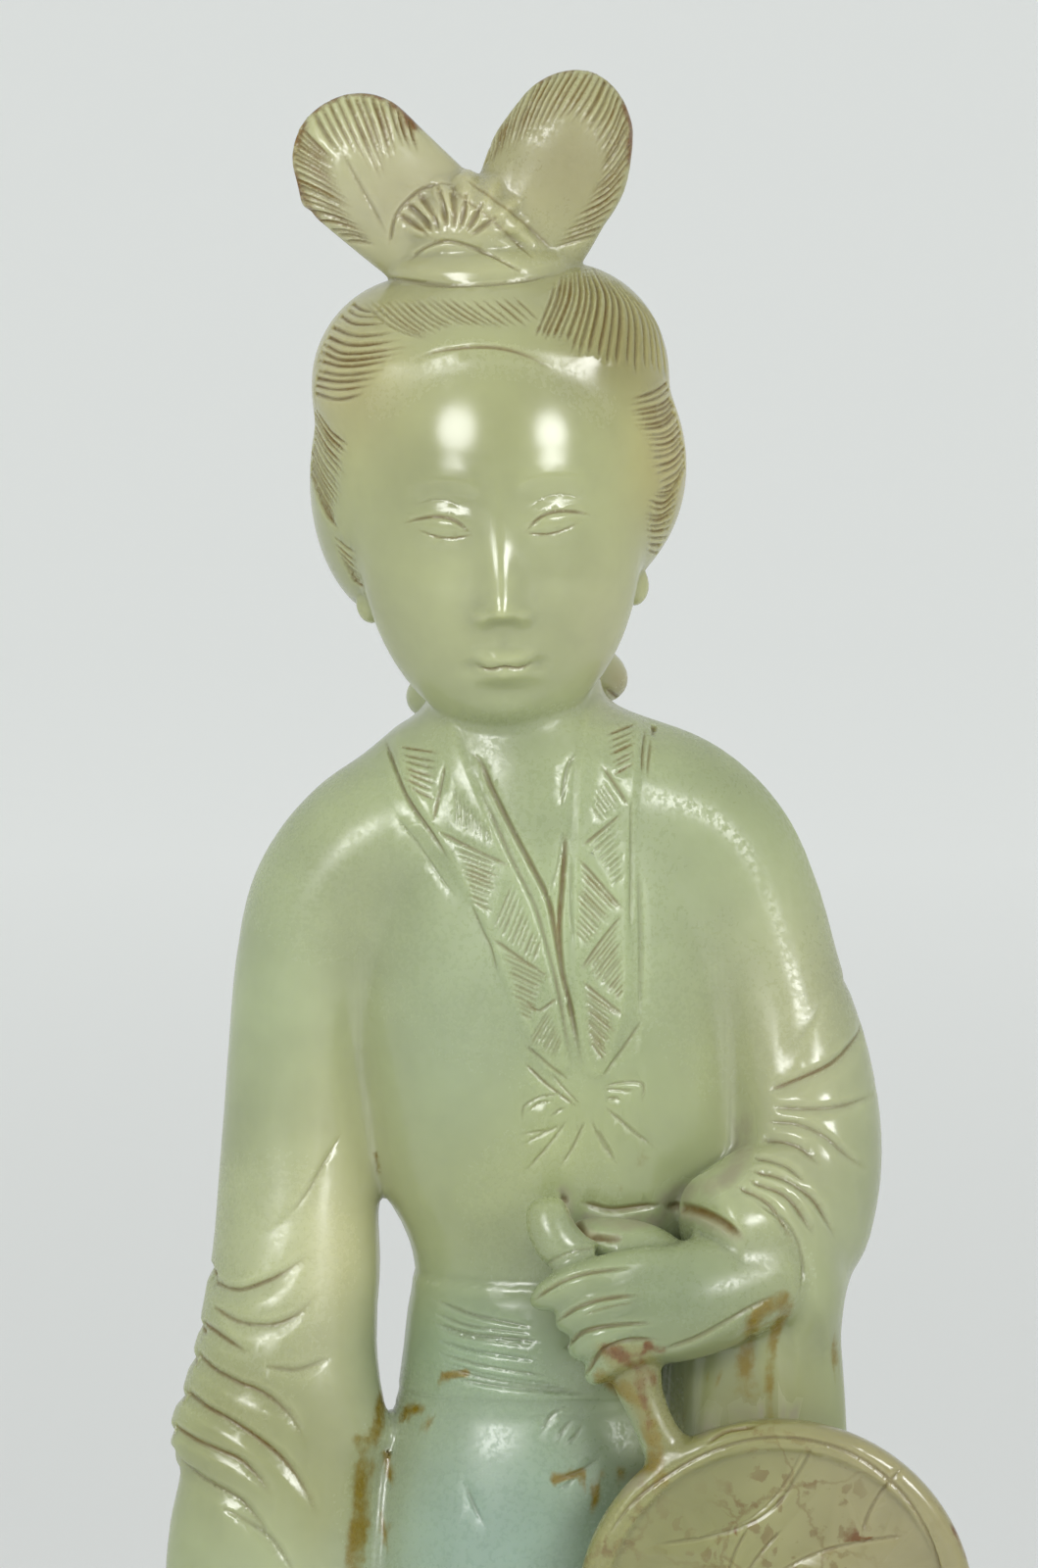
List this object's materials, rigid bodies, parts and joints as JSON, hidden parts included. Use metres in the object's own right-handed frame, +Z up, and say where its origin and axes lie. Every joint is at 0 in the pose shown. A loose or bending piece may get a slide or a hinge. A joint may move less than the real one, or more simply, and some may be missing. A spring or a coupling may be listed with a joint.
{
  "type": "stone geisha figurine",
  "caption": "Carved pale green hardstone lady in a long robe, hair in a looped topknot, a hand at her waist holding a round fan, on a low oval foot.",
  "frame": {"origin": "middle of the foot's flat underside, straight below the figure", "axes": "+Z up along the figure, -Y the way the figure faces, +X towards the figure's own left, where the fan is"},
  "size_m": [0.0755, 0.045, 0.2634],
  "materials": {
    "jade": "polished, translucent, pale yellow-green to blue-green with brown residue in the cuts"
  },
  "bodies": {
    "root": {"figurine": "jade"}
  },
  "joints": []
}
